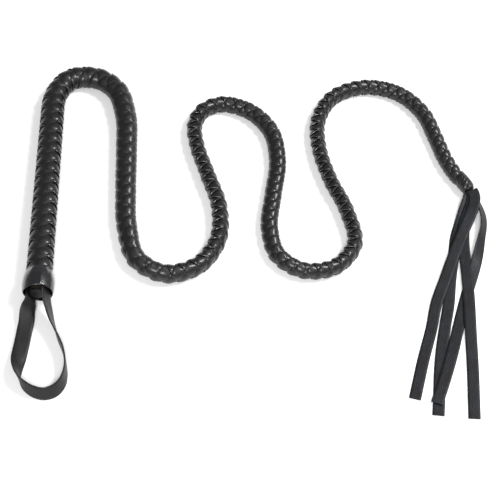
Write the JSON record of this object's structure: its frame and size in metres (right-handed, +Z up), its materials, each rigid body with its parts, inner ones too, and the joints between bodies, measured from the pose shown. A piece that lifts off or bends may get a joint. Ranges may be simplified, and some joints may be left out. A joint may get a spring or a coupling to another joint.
{
  "type": "riding crop",
  "caption": "Long plaited leather riding whip lying in an S: stiff handle with butt cap and wrist loop, tapering flexible thong, tip knot and flat tails.",
  "frame": {"origin": "on the surface that the whip lies on, under the middle of the handle with its wrist loop", "axes": "+Y along the handle from the butt to the thong, +X to the side the thong runs to, +Z up"},
  "size_m": [0.4831, 0.4333, 0.0315],
  "materials": {
    "plait": "grained black leather strips, plaited, with a semi-gloss top coat",
    "strap": "flat black leather strap, satin outside and matt inside",
    "cap": "smooth glossy black leather sleeve with one seam",
    "tails": "grained black leather strips with cut edges",
    "core": "twisted cotton filler cord",
    "wood": "bare turned hardwood dowel",
    "thread": "waxed thread whipping",
    "tack": "domed steel tack"
  },
  "bodies": {
    "handle": {"handle_dowel": "wood", "handle_plait": "plait", "butt_cap": "cap", "butt_plug": "strap", "butt_binding": "thread", "splice_binding": "thread", "core_root": "core", "strap_end_left": "strap", "strap_end_right": "strap", "strap_tack_left": "tack", "strap_tack_right": "tack"},
    "wrist_loop": {"wrist_strap": "strap"},
    "thong_1": {"thong_core_1": "core", "thong_plait_1": "plait"},
    "thong_2": {"thong_core_2": "core", "thong_plait_2": "plait"},
    "thong_3": {"thong_core_3": "core", "thong_plait_3": "plait"},
    "thong_4": {"thong_core_4": "core", "thong_plait_4": "plait"},
    "thong_5": {"thong_core_5": "core", "thong_plait_5": "plait"},
    "tassel": {"tip_knot": "plait", "strip_bundle": "tails", "tail_b": "tails", "tail_c": "tails"},
    "left_tail": {"tail_a": "tails"},
    "right_tail": {"tail_d": "tails"}
  },
  "joints": [
    {"name": "wrist_loop_sway", "type": "hinge", "parent": "handle", "child": "wrist_loop", "pos_m": [-0.004, -0.069, 0.0158], "axis": [0, 0, 1], "range_deg": [-20, 20]},
    {"name": "thong_flex_1", "type": "hinge", "parent": "handle", "child": "thong_1", "pos_m": [-0.00379, 0.18, 0.0109], "axis": [0, 0, 1], "range_deg": [-10, 12]},
    {"name": "thong_flex_2", "type": "hinge", "parent": "thong_1", "child": "thong_2", "pos_m": [0.12574, -0.0415, 0.0085], "axis": [0, 0, 1], "range_deg": [-12, 9]},
    {"name": "thong_flex_3", "type": "hinge", "parent": "thong_2", "child": "thong_3", "pos_m": [0.18335, 0.179, 0.0076], "axis": [0, 0, 1], "range_deg": [-9, 12]},
    {"name": "thong_flex_4", "type": "hinge", "parent": "thong_3", "child": "thong_4", "pos_m": [0.27155, -0.03984, 0.0074], "axis": [0, 0, 1], "range_deg": [-12, 7]},
    {"name": "thong_flex_5", "type": "hinge", "parent": "thong_4", "child": "thong_5", "pos_m": [0.34054, 0.20138, 0.0071], "axis": [0, 0, 1], "range_deg": [-9, 12]},
    {"name": "tip_knot_swing", "type": "hinge", "parent": "thong_5", "child": "tassel", "pos_m": [0.42943, 0.07443, 0.0066], "axis": [0, 0, 1], "range_deg": [-9, 12]},
    {"name": "left_tail_swing", "type": "hinge", "parent": "tassel", "child": "left_tail", "pos_m": [0.4405, 0.0569, 0.0104], "axis": [0, 0, 1], "range_deg": [-12, 0]},
    {"name": "right_tail_swing", "type": "hinge", "parent": "tassel", "child": "right_tail", "pos_m": [0.4405, 0.0569, 0.0086], "axis": [0, 0, 1], "range_deg": [0, 15]}
  ]
}
